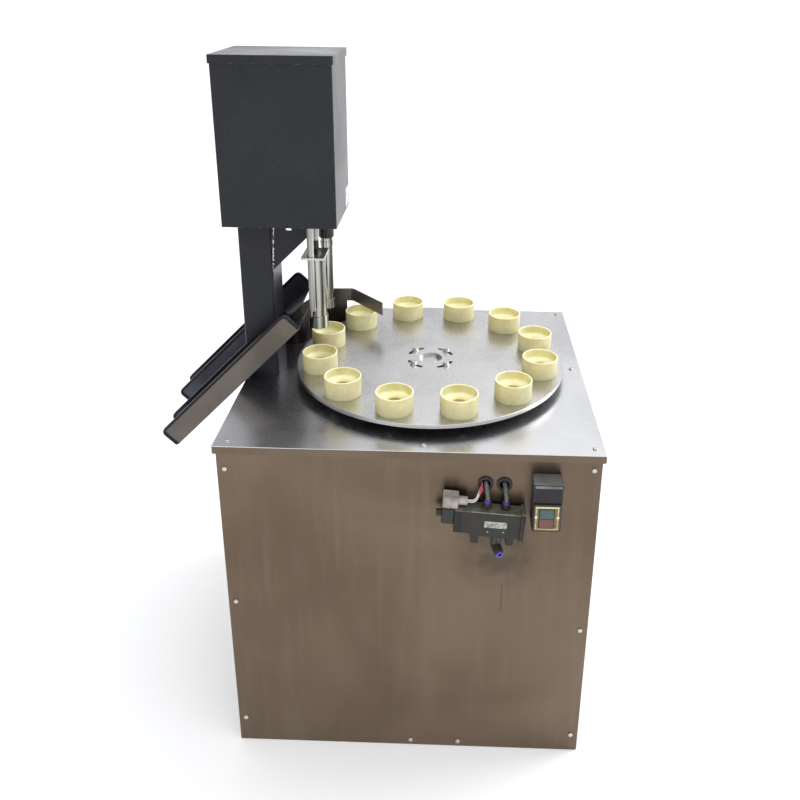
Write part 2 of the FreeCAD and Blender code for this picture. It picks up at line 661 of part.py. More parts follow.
def make_head():
    gap = SHEET_T
    base = box(HEAD_X[0] + gap, HEAD_X[1] - gap, HEAD_Y[0] + gap, HEAD_Y[1] - gap,
               HEAD_LOW, CYLINDER_LOW)
    tools = [round_box(*COLUMN_X, *COLUMN_Y, HEAD_LOW - 1, CYLINDER_LOW + 1, 5),
             post(FRONT_ROD_R + 2, *FRONT_XY, HEAD_LOW - 1, CYLINDER_LOW + 1),
             post(REAR_NOSE_R, *REAR_XY, HEAD_LOW - 1, CYLINDER_LOW + 1),
             post(GUIDE_R, *GUIDE_XY, HEAD_LOW - 1, CYLINDER_LOW + 1)]
    save("head_base_plate", cut_all(base, tools))

    cover_top = HEAD_TOP - SHEET_T
    cover = round_box(*HEAD_X, *HEAD_Y, HEAD_LOW, cover_top, CORNER_R)
    inside = box(HEAD_X[0] + gap, HEAD_X[1] - gap, HEAD_Y[0] + gap, HEAD_Y[1] - gap,
                 HEAD_LOW - 1, cover_top + 1)
    save("head_cover", cover.cut(inside))

    over = HEAD_LID_OVER
    lid = round_box(HEAD_X[0] - over, HEAD_X[1] + over, HEAD_Y[0] - over, HEAD_Y[1] + over,
                    HEAD_TOP - HEAD_LID_SKIRT, HEAD_TOP, CORNER_R)
    top_edges = [e for e in lid.Edges if abs(e.CenterOfMass.z - HEAD_TOP) < 0.01]
    lid = lid.makeFillet(1.2, top_edges)
    inner = over - SHEET_T
    hollow = box(HEAD_X[0] - inner, HEAD_X[1] + inner, HEAD_Y[0] - inner, HEAD_Y[1] + inner,
                 HEAD_TOP - HEAD_LID_SKIRT - 1, cover_top)
    save("head_lid", lid.cut(hollow))


def air_cylinder(x, y, rod_r):
    """Square end caps on a round barrel, with a bore for the piston and one for the rod."""
    half = CYLINDER_CAP / 2
    top = CYLINDER_LOW + CYLINDER_H
    body = post(CYLINDER_R, x, y, CYLINDER_LOW + CYLINDER_CAP_T, top - CYLINDER_CAP_T)
    low_cap = round_box(x - half, x + half, y - half, y + half,
                        CYLINDER_LOW, CYLINDER_LOW + CYLINDER_CAP_T, 5)
    high_cap = round_box(x - half, x + half, y - half, y + half, top - CYLINDER_CAP_T, top, 5)
    body = body.multiFuse([low_cap, high_cap])
    bore = post(CYLINDER_BORE_R, x, y, CYLINDER_LOW + CYLINDER_CAP_T, top - CYLINDER_CAP_T)
    rod_bore = post(rod_r + RUN_GAP, x, y, CYLINDER_LOW - 1, CYLINDER_LOW + CYLINDER_CAP_T + 1)
    ports = [rod(4, (x - half - 1, y, z), (x - half + 9, y, z))
             for z in (CYLINDER_LOW + CYLINDER_CAP_T / 2, top - CYLINDER_CAP_T / 2)]
    return cut_all(body, [bore, rod_bore] + ports)


def make_presses():
    piston_high = CYLINDER_LOW + CYLINDER_H - CYLINDER_CAP_T - 4.0
    piston_low = piston_high - PISTON_T
    piston_r = CYLINDER_BORE_R - RUN_GAP

    save("front_cylinder", air_cylinder(*FRONT_XY, FRONT_ROD_R))
    save("guide_rod", post(GUIDE_R, *GUIDE_XY, GUIDE_LOW, CYLINDER_LOW))

    nose = post(REAR_NOSE_R, *REAR_XY, REAR_NOSE_LOW, CYLINDER_LOW)
    nose = nose.makeFillet(3, [e for e in nose.Edges if e.Curve.TypeId == "Part::GeomCircle"
                               and e.CenterOfMass.z < REAR_NOSE_LOW + 1])
    nose = nose.cut(post(REAR_ROD_R + RUN_GAP, *REAR_XY, REAR_NOSE_LOW - 1, CYLINDER_LOW + 1))
    save("rear_cylinder", air_cylinder(*REAR_XY, REAR_ROD_R).fuse(nose))

    crosshead_low = CROSSHEAD_TOP - CROSSHEAD_T
    plate = round_box(*CROSSHEAD_X, *CROSSHEAD_Y, crosshead_low, CROSSHEAD_TOP, 2)
    guide_hole = post(GUIDE_R + RUN_GAP, *GUIDE_XY, crosshead_low - 1, CROSSHEAD_TOP + 1)
    rod_hole = post(FRONT_ROD_R, *FRONT_XY, crosshead_low - 1, CROSSHEAD_TOP + 1)
    save("crosshead_plate", cut_all(plate, [guide_hole, rod_hole]))

    front_rod = post(FRONT_ROD_R, *FRONT_XY, crosshead_low, piston_low)
    front_rod = front_rod.fuse(post(piston_r, *FRONT_XY, piston_low, piston_high))
    front_rod = front_rod.fuse(hexagon(ROD_NUT, *FRONT_XY, CROSSHEAD_TOP, CROSSHEAD_TOP + ROD_NUT_H))
    save("front_piston_rod", front_rod)

    tube = post(TUBE_R, *FRONT_XY, TUBE_LOW, crosshead_low)
    tube = tube.fuse(post(TUBE_RING_R, *FRONT_XY, TUBE_LOW, TUBE_LOW + TUBE_RING_H))
    rims = [e for e in tube.Edges if e.Curve.TypeId == "Part::GeomCircle"
            and abs(e.Curve.Radius - TUBE_RING_R) < 0.01]
    tube = tube.makeFillet(1.2, rims)
    save("front_press_tube", tube.cut(post(TUBE_BORE_R, *FRONT_XY, TUBE_LOW - 1, crosshead_low - 4)))

    tip_high = REAR_TIP_LOW + REAR_TIP_H
    rear = post(REAR_ROD_R, *REAR_XY, tip_high, piston_low)
    tip = post(REAR_TIP_R, *REAR_XY, REAR_TIP_LOW, tip_high)
    tip = tip.makeFillet(1.5, [e for e in tip.Edges if e.Curve.TypeId == "Part::GeomCircle"])
    rear = rear.multiFuse([tip, post(piston_r, *REAR_XY, piston_low, piston_high),
                           post(REAR_ROD_R + 1, *REAR_XY, *REAR_COLLAR_Z)])
    save("rear_press_rod", rear)


# ---------------------------------------------------------------- chutes and guard
def chute_place(solid, y, shift):
    """Tilt a chute drawn level along +X and put its low end in place."""
    solid.rotate(Vector(0, 0, 0), Vector(0, 1, 0), -CHUTE_ANGLE)
    solid.translate(Vector(CHUTE_END[0] + shift[0], y, CHUTE_END[1] + shift[1]))
    return solid


def mouth_start(shift):
    """How far up the slope the floor clears the column and can widen."""
    lean = math.cos(math.radians(CHUTE_ANGLE))
    return (COLUMN_X[1] + MOUTH_GAP - CHUTE_END[0] - shift[0]) / lean


def chute_side(length, thick, grow):
    """One side wall, or a copy of it grown all round except at the floor."""
    side = box(-grow, length + grow, 0, thick, 0, CHUTE_WALL_H + grow)
    corners = [e for e in side.Edges if abs(e.tangentAt(e.FirstParameter).y) > 0.9
               and e.CenterOfMass.z > CHUTE_WALL_H / 2]
    return side.makeFillet(CHUTE_CORNER_R + grow, corners)


def chute(y0, y1, lengths, mouth_y, shift):
    """A sloping trough: the wall beside the column ends at it, and the mouth's floor is wider."""
    floor = box(0, CHUTE_LEN, 0, y1 - y0, 0, SHEET_T)
    apron = box(mouth_start(shift), CHUTE_LEN, mouth_y[0] - y0, mouth_y[1] - y0, 0, SHEET_T)
    near = chute_side(lengths[0], SHEET_T, 0)
    far = chute_side(lengths[1], SHEET_T, 0)
    far.translate(Vector(0, y1 - y0 - SHEET_T, 0))
    return chute_place(fuse([floor, apron, near, far]), y0, shift)


def chute_trim(y, length, shift):
    """Rubber edging that grips one side wall along its top and both ends."""
    outer = chute_side(length, TRIM_W, TRIM_OVER)
    window = chute_side(length, TRIM_W + 2, -TRIM_BITE)
    window.translate(Vector(0, -1, 0))
    below = box(-TRIM_W * 2, CHUTE_LEN + TRIM_W * 2, -1, TRIM_W + 1, -TRIM_W * 2, SHEET_T + 0.5)
    inset = (TRIM_W - SHEET_T) / 2
    wall = chute_side(length, SHEET_T, 0)
    wall.translate(Vector(0, inset, 0))
    trim = outer.cut(window).cut(below).cut(wall)
    return chute_place(trim, y - inset, shift)


def make_chutes():
    level = (0.0, 0.0)
    near_lengths = (CHUTE_LEN, mouth_start(level))
    far_lengths = (mouth_start(FAR_CHUTE_SHIFT), CHUTE_LEN)
    near_mouth = (NEAR_CHUTE_Y[1] - 1, MOUTH_SPLIT_Y)
    far_mouth = (MOUTH_SPLIT_Y + 1, FAR_CHUTE_Y[0] + 1)
    save("near_chute", chute(*NEAR_CHUTE_Y, near_lengths, near_mouth, level))
    save("far_chute", chute(*FAR_CHUTE_Y, far_lengths, far_mouth, FAR_CHUTE_SHIFT))
    trims = []
    for span, lengths, shift in ((NEAR_CHUTE_Y, near_lengths, level),
                                 (FAR_CHUTE_Y, far_lengths, FAR_CHUTE_SHIFT)):
        trims.append(chute_trim(span[0], lengths[0], shift))
        trims.append(chute_trim(span[1] - SHEET_T, lengths[1], shift))
    save_group("chute_trims", trims)


def make_guard():
    points = [(x, y, LID_TOP) for x, y in GUARD_ROUTE]
    path = tube_path(points, GUARD_BENDS)
    x, y = GUARD_ROUTE[0]
    section = Part.makePolygon([Vector(x, y, LID_TOP), Vector(x, y + GUARD_T, LID_TOP),
                                Vector(x, y + GUARD_T, GUARD_TOP), Vector(x, y, GUARD_TOP),
                                Vector(x, y, LID_TOP)])
    sheet = path.makePipeShell([section], True, False)
    cut_away = box(ARM_FROM_X, 0, 0, 300, LID_TOP - 1, ARM_LOW)
    save("sweep_guard", sheet.cut(cut_away))


# ---------------------------------------------------------------- valve and switch
VALVE_PIVOT = Vector(VALVE_X[0], 0, VALVE_Z[1])


def tilt(solid):
    """Turn a valve piece about its top left corner: the valve hangs a little low at the right."""
    solid.rotate(VALVE_PIVOT, Vector(0, 1, 0), VALVE_TILT)
    return solid


def tilt_point(x, y, z):
    turn = FreeCAD.Rotation(Vector(0, 1, 0), VALVE_TILT)
    moved = turn.multVec(Vector(x, y, z) - VALVE_PIVOT) + VALVE_PIVOT
    return moved.x, moved.y, moved.z


def make_valve():
    x0, x1 = VALVE_X
    z0, z1 = VALVE_Z
    back = -PANEL_Y
    body = box(x0, x1, VALVE_FRONT, back - 4, z0, z1)
    body = body.makeFillet(1.5, [e for e in body.Edges if e.CenterOfMass.y < VALVE_FRONT + 1])
    feet = []
    for foot_x in (x0 + 5, x1 - 20):
        feet.append(box(foot_x, foot_x + 14, back - 18, back, z0 - 28, z0))
        feet.append(box(foot_x, foot_x + 14, back - 4, back, z0, z1 - 10))
    end_cap = round_box(x1, x1 + 8, VALVE_FRONT - 2, back - 3, z0 - 2, z1 + 3, 2)
    adapter = box(x0 - 29, x0, VALVE_FRONT + 1, back - 6, z0 + 4, z1 - 1)
    ports = [post(6.0, x, FITTING_Y, z1 - 6, z1 + 1) for x in FITTING_X]
    elbow_x = 165.0
    elbow_y = -342.0
    ports.append(post(6.0, elbow_x, elbow_y, z0 - 1, z0 + 8))
    save("valve_body", tilt(cut_all(body.multiFuse(feet + [end_cap, adapter]), ports)))

    coil = round_box(x0 - 52, x0 - 29, VALVE_FRONT + 2, back - 5, z0 + 20, z1 - 1, 4)
    stem = rod(6.5, (x0 - 62, back - 18, z0 + 32), (x0 - 52, back - 18, z0 + 32))
    save("valve_coil", tilt(coil.fuse(stem)))

    plug = round_box(x0 - 52, x0 - 24, VALVE_FRONT + 6, back - 6, z1 - 1, z1 + 22, 3)
    gland = rod(8.0, (x0 - 24, back - 17, z1 + 10), (x0 - 8, back - 17, z1 + 10))
    gland = gland.cut(rod(4.2, (x0 - 20, back - 17, z1 + 10), (x0 - 7, back - 17, z1 + 10)))
    save("valve_connector", tilt(plug.fuse(gland)))

    fittings = []
    rings = []
    tube_top = z1 + 16
    for x in FITTING_X:
        barrel = hexagon(14, x, FITTING_Y, z1, z1 + 5)
        barrel = barrel.fuse(post(7.0, x, FITTING_Y, z1 + 5, z1 + 11))
        barrel = barrel.fuse(post(6.0, x, FITTING_Y, z1 - 6, z1))
        fittings.append(barrel.cut(post(AIR_TUBE_R, x, FITTING_Y, z1 + 1, tube_top)))
        rings.append(ring(6.2, AIR_TUBE_R, x, FITTING_Y, z1 + 11, z1 + 14))
    drop = z0 - 27
    elbow = post(9.0, elbow_x, elbow_y, drop, z0).fuse(post(6.0, elbow_x, elbow_y, z0, z0 + 8))
    elbow = elbow.fuse(rod(9.0, (elbow_x, elbow_y, drop), (elbow_x + 7, elbow_y - 20, drop - 5)))
    elbow = elbow.fuse(Part.makeSphere(9.0, Vector(elbow_x, elbow_y, drop)))
    way = Vector(7, -20, -5).normalize()
    mouth = Vector(elbow_x + 7, elbow_y - 20, drop - 5)
    fittings.append(elbow.cut(Part.makeCylinder(4.0, 14, mouth - way * 12, way)))
    collar = Part.makeCylinder(6.8, 3, mouth, way)
    rings.append(collar.cut(Part.makeCylinder(4.0, 5, mouth - way, way)))
    save_group("valve_fittings", [tilt(part) for part in fittings])
    save_group("release_rings", [tilt(part) for part in rings])

    tubes = []
    for x, (hole_x, hole_z) in zip(FITTING_X, HOLE_XZ):
        low = tilt_point(x, FITTING_Y, z1 + 1)
        high = tilt_point(x, FITTING_Y, z1 + 19)
        route = [low, high, (hole_x + 1, FITTING_Y + 1, hole_z + 1), (hole_x, -296.0, hole_z + 1)]
        tubes.append(sweep_round(route, [60.0, 14.0], AIR_TUBE_R))
    save_group("air_tubes", tubes)

    wires = []
    hole_x, hole_z = HOLE_XZ[0]
    for lift in (-1.6, 1.6):
        start_y = back - 17 + lift
        route = [tilt_point(x0 - 19, start_y, z1 + 10 + lift / 2),
                 tilt_point(x0 + 6, start_y, z1 + 10 + lift / 2),
                 (hole_x - 6.2 - lift / 3, back - 10 + lift, hole_z - 1.5 + 1.6 * lift),
                 (hole_x - 6.0 - lift / 3, -300.0, hole_z - 1.5 + 1.6 * lift)]
        wires.append(sweep_round(route, [10.0, 8.0], 1.2))
    save_group("valve_wires", wires)


def make_switch():
    x0, x1 = SWITCH_X
    z0, z1 = SWITCH_Z
    step_z = z1 - 8.0
    shell = box(x0, x1, SWITCH_FRONT, -PANEL_Y, z0, step_z)
    shell = shell.makeFillet(3, [e for e in shell.Edges if abs(e.tangentAt(e.FirstParameter).y) > 0.9
                                 and e.CenterOfMass.z < z0 + 1])
    cap = box(x0 - 1, x1 + 1, SWITCH_FRONT - 1, -PANEL_Y, step_z, z1)
    cap = cap.makeFillet(2, [e for e in cap.Edges if e.CenterOfMass.z > z1 - 1])
    shell = shell.fuse(cap)
    pocket_y = SWITCH_FRONT + 14.0
    pocket = box(BUTTON_X[0] - 1, BUTTON_X[1] + 1, SWITCH_FRONT - 5, pocket_y, RED_Z[0] - 1, GREEN_Z[1] + 1)
    save("switch_box", shell.cut(pocket))

    frame_z = (z0 + 3.0, GREEN_Z[1] + 9.0)
    bezel = box(x0 + 1.5, x1 - 1.5, SWITCH_FRONT - 4, SWITCH_FRONT, *frame_z)
    bezel = bezel.makeFillet(2, [e for e in bezel.Edges if e.CenterOfMass.y < SWITCH_FRONT - 3])
    save("switch_bezel", bezel.cut(pocket))

    proud = 1.0
    front = SWITCH_FRONT - 4 - proud
    inner = pocket_y - BUTTON_TRAVEL - 0.5
    for name, span in (("start_button", GREEN_Z), ("stop_button", RED_Z)):
        cap = box(BUTTON_X[0], BUTTON_X[1], front, inner, *span)
        cap = cap.makeFillet(1, [e for e in cap.Edges if e.CenterOfMass.y < front + 0.5])
        save(name, cap)


make_cabinet()
make_turntable()
make_drive()
make_column()
make_head()
make_presses()
make_chutes()
make_guard()
make_valve()
make_switch()
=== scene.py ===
"""Looks of the rotary table cup machine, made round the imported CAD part. Lengths are in metres."""
import math
import random

import bmesh
import bpy
from mathutils import Matrix, Vector


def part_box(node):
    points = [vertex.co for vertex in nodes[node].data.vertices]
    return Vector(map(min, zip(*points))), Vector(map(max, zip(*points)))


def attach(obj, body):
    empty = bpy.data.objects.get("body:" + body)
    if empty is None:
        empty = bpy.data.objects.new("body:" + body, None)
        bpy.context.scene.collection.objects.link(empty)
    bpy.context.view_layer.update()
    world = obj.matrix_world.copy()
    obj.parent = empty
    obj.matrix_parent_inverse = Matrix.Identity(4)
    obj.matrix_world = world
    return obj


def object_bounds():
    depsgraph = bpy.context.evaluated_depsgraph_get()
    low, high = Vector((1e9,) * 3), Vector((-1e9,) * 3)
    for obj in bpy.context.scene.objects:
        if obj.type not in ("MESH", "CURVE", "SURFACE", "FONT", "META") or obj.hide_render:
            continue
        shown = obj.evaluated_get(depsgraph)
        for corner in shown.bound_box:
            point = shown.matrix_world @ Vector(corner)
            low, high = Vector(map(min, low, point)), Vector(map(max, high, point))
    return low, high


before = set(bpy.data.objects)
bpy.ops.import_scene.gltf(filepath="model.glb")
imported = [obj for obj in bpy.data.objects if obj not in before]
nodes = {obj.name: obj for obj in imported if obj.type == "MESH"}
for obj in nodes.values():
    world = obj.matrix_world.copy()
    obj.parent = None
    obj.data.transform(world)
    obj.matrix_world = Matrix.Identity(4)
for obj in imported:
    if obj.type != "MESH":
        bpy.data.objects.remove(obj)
cad_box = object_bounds()
mm = 0.001

NEST_COUNT = 12
CHUTE_SLOPE = math.radians(45.3)
DUST = (0.25, 0.24, 0.22)
X_WAY = (1, 0, 0)
Y_WAY = (0, 1, 0)
Z_WAY = (0, 0, 1)


# ---------------------------------------------------------------- node helpers
class Graph:
    """A node tree. A helper takes sockets or plain values and gives back a socket."""

    def __init__(self, tree):
        self.tree = tree
        self.place = tree.nodes.new("ShaderNodeTexCoord").outputs

    def feed(self, socket, value):
        if isinstance(value, bpy.types.NodeSocket):
            self.tree.links.new(value, socket)
        elif isinstance(value, (tuple, list)) and socket.type == "RGBA":
            socket.default_value = (*value[:3], 1.0)
        else:
            socket.default_value = value

    def part(self, vector, letter):
        """The X, Y or Z of a vector."""
        node = self.tree.nodes.new("ShaderNodeSeparateXYZ")
        self.feed(node.inputs[0], vector)
        return node.outputs[letter]

    def axis(self, letter, source="Object"):
        """One coordinate of the place that is shaded."""
        return self.part(self.place[source], letter)

    def stretched(self, stretch, source="Object"):
        mapping = self.tree.nodes.new("ShaderNodeMapping")
        self.feed(mapping.inputs["Vector"], self.place[source])
        mapping.inputs["Scale"].default_value = stretch
        return mapping.outputs[0]

    def noise(self, scale, detail=3.0, rough=0.5, stretch=(1, 1, 1), warp=0.0):
        node = self.tree.nodes.new("ShaderNodeTexNoise")
        self.feed(node.inputs["Vector"], self.stretched(stretch))
        node.inputs["Scale"].default_value = scale
        node.inputs["Detail"].default_value = detail
        node.inputs["Roughness"].default_value = rough
        node.inputs["Distortion"].default_value = warp
        return node.outputs[0]

    def span(self, value, low, high, to_low=0.0, to_high=1.0):
        """Smoothly from to_low to to_high while the value goes from low to high."""
        node = self.tree.nodes.new("ShaderNodeMapRange")
        node.interpolation_type = "SMOOTHSTEP"
        self.feed(node.inputs["Value"], value)
        limits = {"From Min": low, "From Max": high, "To Min": to_low, "To Max": to_high}
        for name, number in limits.items():
            node.inputs[name].default_value = number
        return node.outputs[0]

    def maths(self, operation, a, b=0.0):
        node = self.tree.nodes.new("ShaderNodeMath")
        node.operation = operation
        self.feed(node.inputs[0], a)
        self.feed(node.inputs[1], b)
        return node.outputs[0]

    def times(self, a, b):
        return self.maths("MULTIPLY", a, b)

    def minus(self, a, b):
        return self.maths("SUBTRACT", a, b)

    def vectors(self, operation, a, b):
        """A number from two vectors, such as their DISTANCE or DOT_PRODUCT."""
        node = self.tree.nodes.new("ShaderNodeVectorMath")
        node.operation = operation
        self.feed(node.inputs[0], a)
        self.feed(node.inputs[1], b)
        return node.outputs["Value"]

    def between(self, factor, a, b):
        """A number, a at factor 0 and b at factor 1."""
        node = self.tree.nodes.new("ShaderNodeMix")
        self.feed(node.inputs[0], factor)
        self.feed(node.inputs[2], a)
        self.feed(node.inputs[3], b)
        return node.outputs[0]

    def colours(self, factor, a, b, blend="MIX"):
        """A colour, a at factor 0 and b at factor 1."""
        node = self.tree.nodes.new("ShaderNodeMix")
        node.data_type = "RGBA"
        node.blend_type = blend
        self.feed(node.inputs[0], factor)
        self.feed(node.inputs[6], a)
        self.feed(node.inputs[7], b)
        return node.outputs[2]

    def mottled(self, clouds, dark, light, low=0.3, high=0.7):
        """Two colours in soft patches."""
        return self.colours(self.span(clouds, low, high), dark, light)


class Paint(Graph):
    """One material's nodes. uniform holds the shader's plain values."""

    def __init__(self, name, **uniform):
        self.material = bpy.data.materials.new(name)
        self.material.use_nodes = True
        super().__init__(self.material.node_tree)
        self.shader = self.tree.nodes["Principled BSDF"]
        for key, value in uniform.items():
            self.shader.inputs[key.replace("_", " ")].default_value = value

    def normal(self):
        return self.tree.nodes.new("ShaderNodeNewGeometry").outputs["Normal"]

    def facing(self, letter, low, high, to_low=0.0, to_high=1.0):
        """A span over one part of the surface's own direction, such as Z, which is 1 on a level top."""
        return self.span(self.part(self.normal(), letter), low, high, to_low, to_high)

    def front(self):
        """1 on faces that look to the front, -Y."""
        return self.facing("Y", -0.9, -0.5, 1.0, 0.0)

    def distance(self, point, scale=(1, 1, 1), source="Object"):
        scaled_point = [p * s for p, s in zip(point, scale)]
        return self.vectors("DISTANCE", self.stretched(scale, source), scaled_point)

    def patch(self, middle, ways, half, soft=0.3 * mm):
        """1 inside a rectangle round a point. ways are its sides' directions, half its half sizes."""
        outside = None
        for way, size in zip(ways, half):
            along = self.vectors("DOT_PRODUCT", self.place["Object"], way)
            offset = self.minus(along, Vector(middle).dot(Vector(way)))
            beyond = self.minus(self.maths("ABSOLUTE", offset), size)
            outside = beyond if outside is None else self.maths("MAXIMUM", outside, beyond)
        return self.span(outside, -soft, soft, 1.0, 0.0)

    def rounded(self, radius):
        node = self.tree.nodes.new("ShaderNodeBevel")
        node.samples = 4
        node.inputs["Radius"].default_value = radius
        return node.outputs[0]

    def edges(self, radius):
        """1 along sharp edges and 0 elsewhere."""
        alike = self.vectors("DOT_PRODUCT", self.rounded(radius), self.normal())
        return self.span(self.minus(1.0, alike), 0.02, 0.25)

    def worn(self, colour, radius, share, tone):
        """Another tone along the sharp edges."""
        return self.colours(self.times(self.edges(radius), share), colour, tone)

    def bump(self, height, strength, distance, radius=None):
        node = self.tree.nodes.new("ShaderNodeBump")
        node.inputs["Strength"].default_value = strength
        node.inputs["Distance"].default_value = distance
        self.feed(node.inputs["Height"], height)
        if radius:
            self.feed(node.inputs["Normal"], self.rounded(radius))
        self.feed(self.shader.inputs["Normal"], node.outputs[0])

    def finish(self, colour, roughness):
        self.feed(self.shader.inputs["Base Color"], colour)
        self.feed(self.shader.inputs["Roughness"], roughness)
        return self.material


def dress(material, *names):
    """Give CAD nodes a material."""
    for name in names:
        for slot in nodes[name].material_slots:
            slot.material = material


# ---------------------------------------------------------------- materials used more than once
def brushed(name, dark, light, rough, grain, cloud, edge, strength=0.06):
    """Sheet or bar metal with fine grain along one direction, cloudy smudges and bright edges."""
    g = Paint(name, Metallic=1.0)
    clouds = g.noise(cloud, 4, 0.55, warp=0.6)
    fine = g.noise(60, 3, 0.6, grain)
    bright = tuple(min(1.0, c * 1.6) for c in light)
    colour = g.mottled(clouds, dark, light)
    colour = g.colours(1.0, colour, g.span(fine, 0.3, 0.7, 0.88, 1.1), "MULTIPLY")
    colour = g.worn(colour, edge * 1.5, 0.5, bright)
    smudge = g.maths("ADD", g.times(clouds, 0.6), g.times(fine, 0.4))
    g.bump(fine, strength, 0.2 * mm, edge)
    return g.finish(colour, g.span(smudge, 0.35, 0.65, *rough))


def moulded(name, dark, light, rough, edge, size=900.0, dust=DUST, haze=0.12, **uniform):
    """Moulded plastic or rubber: fine grain, a little dust and softened edges."""
    g = Paint(name, **uniform)
    clouds = g.noise(30, 4, 0.6)
    colour = g.mottled(clouds, dark, light, 0.35, 0.65)
    settled = g.times(g.span(g.noise(90, 5, 0.7), 0.5, 0.75), haze)
    colour = g.colours(settled, colour, dust)
    g.bump(g.noise(size, 2, 0.5), 0.15, 0.1 * mm, edge)
    return g.finish(colour, g.span(clouds, 0.3, 0.7, *rough))


# ---------------------------------------------------------------- sheet metal
def panel_steel():
    """Stainless panels: brownish satin sheet with faint streaks, stained under the valve."""
    dark = (0.128, 0.094, 0.066)
    light = (0.178, 0.132, 0.095)
    streaked = (0.21, 0.168, 0.13)
    stained = (0.082, 0.066, 0.050)
    edge_tone = (0.42, 0.39, 0.35)
    low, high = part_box("valve_body")
    stain_middle = Vector(((low.x + high.x) / 2 + 22 * mm, high.y, low.z - 25 * mm))
    drip_middle = stain_middle + Vector((8 * mm, 0, -106 * mm))
    drip_half = (1.1 * mm, 32 * mm)

    g = Paint("panel_steel", Metallic=1.0)
    clouds = g.noise(2.6, 5, 0.5, warp=0.8)
    streaks = g.noise(7, 4, 0.6, (6, 6, 0.5))
    fine = g.noise(90, 2, 0.6, (1.0, 30, 30))
    colour = g.mottled(clouds, dark, light)
    colour = g.colours(g.span(streaks, 0.45, 0.8, 0.0, 0.35), colour, streaked)
    stain = g.span(g.distance(stain_middle, (0.8, 1, 0.75)), 30 * mm, 85 * mm, 1.0, 0.0)
    stain = g.times(stain, g.span(g.noise(22, 4, 0.6), 0.3, 0.7, 0.3, 0.85))
    drip = g.patch(drip_middle, (X_WAY, Z_WAY), drip_half, 1.4 * mm)
    stain = g.maths("MAXIMUM", stain, g.times(drip, 0.75))
    colour = g.colours(stain, colour, stained)
    colour = g.worn(colour, 1.5 * mm, 0.5, edge_tone)
    marks = g.maths("ADD", g.times(streaks, 0.5), g.times(fine, 0.5))
    g.bump(fine, 0.05, 0.2 * mm, 1.2 * mm)
    return g.finish(colour, g.span(marks, 0.3, 0.7, 0.30, 0.44))


def lid_steel():
    """The lid: satin sheet, with painted shade in the brown tone of the panels on its skirt."""
    dark = (0.52, 0.52, 0.535)
    light = (0.62, 0.62, 0.635)
    skirt_shade_dark = (0.12, 0.09, 0.066)
    skirt_shade_light = (0.165, 0.125, 0.092)

    g = Paint("lid_steel", Metallic=1.0)
    clouds = g.noise(3.5, 4, 0.55, warp=0.6)
    fine = g.noise(60, 3, 0.6, (1.5, 40, 40))
    colour = g.mottled(clouds, dark, light)
    colour = g.colours(1.0, colour, g.span(fine, 0.3, 0.7, 0.93, 1.05), "MULTIPLY")
    # painted shade: the skirt, the lid's upright faces, darker and browner than its top
    skirt_shade = g.mottled(clouds, skirt_shade_dark, skirt_shade_light)
    colour = g.colours(g.facing("Z", 0.2, 0.7, 1.0, 0.0), colour, skirt_shade)
    smudge = g.maths("ADD", g.times(clouds, 0.6), g.times(fine, 0.4))
    g.bump(fine, 0.03, 0.2 * mm)
    return g.finish(colour, g.span(smudge, 0.35, 0.65, 0.24, 0.33))


def head_paint():
    """Dark grey hammered enamel, worn lighter along the edges, with a blank label on the right."""
    dark = (0.014, 0.015, 0.019)
    light = (0.020, 0.021, 0.026)
    speckled = (0.09, 0.09, 0.10)
    dusty = (0.07, 0.068, 0.066)
    bare = (0.28, 0.28, 0.30)
    label_grey = (0.35, 0.35, 0.37)
    label_white = (0.80, 0.80, 0.80)
    low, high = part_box("head_cover")
    label_middle = Vector((high.x, high.y - 28 * mm, low.z + 24 * mm))
    label_ways = (Y_WAY, Z_WAY)
    label_half = (22 * mm, 20 * mm)
    border_half = (19 * mm, 17 * mm)

    g = Paint("head_paint", Specular_IOR_Level=0.22)
    clouds = g.noise(5, 4, 0.55, warp=0.5)
    colour = g.mottled(clouds, dark, light)
    colour = g.colours(g.span(g.noise(700, 2, 0.5), 0.6, 0.75, 0.0, 0.3), colour, speckled)
    dust = g.times(g.span(g.noise(14, 5, 0.65), 0.5, 0.8), 0.2)
    colour = g.colours(dust, colour, dusty)
    colour = g.worn(colour, 1.4 * mm, g.span(g.noise(60, 4, 0.7), 0.45, 0.6), bare)
    label = g.times(g.patch(label_middle, label_ways, label_half), g.facing("X", 0.5, 0.9))
    border = g.patch(label_middle, label_ways, border_half)
    blank = g.times(border, g.span(g.noise(120, 3, 0.6), 0.45, 0.6))
    colour = g.colours(label, colour, g.colours(blank, label_grey, label_white))
    g.bump(g.noise(420, 2, 0.5), 0.10, 0.3 * mm, 1.5 * mm)
    return g.finish(colour, g.span(clouds, 0.3, 0.7, 0.24, 0.33))


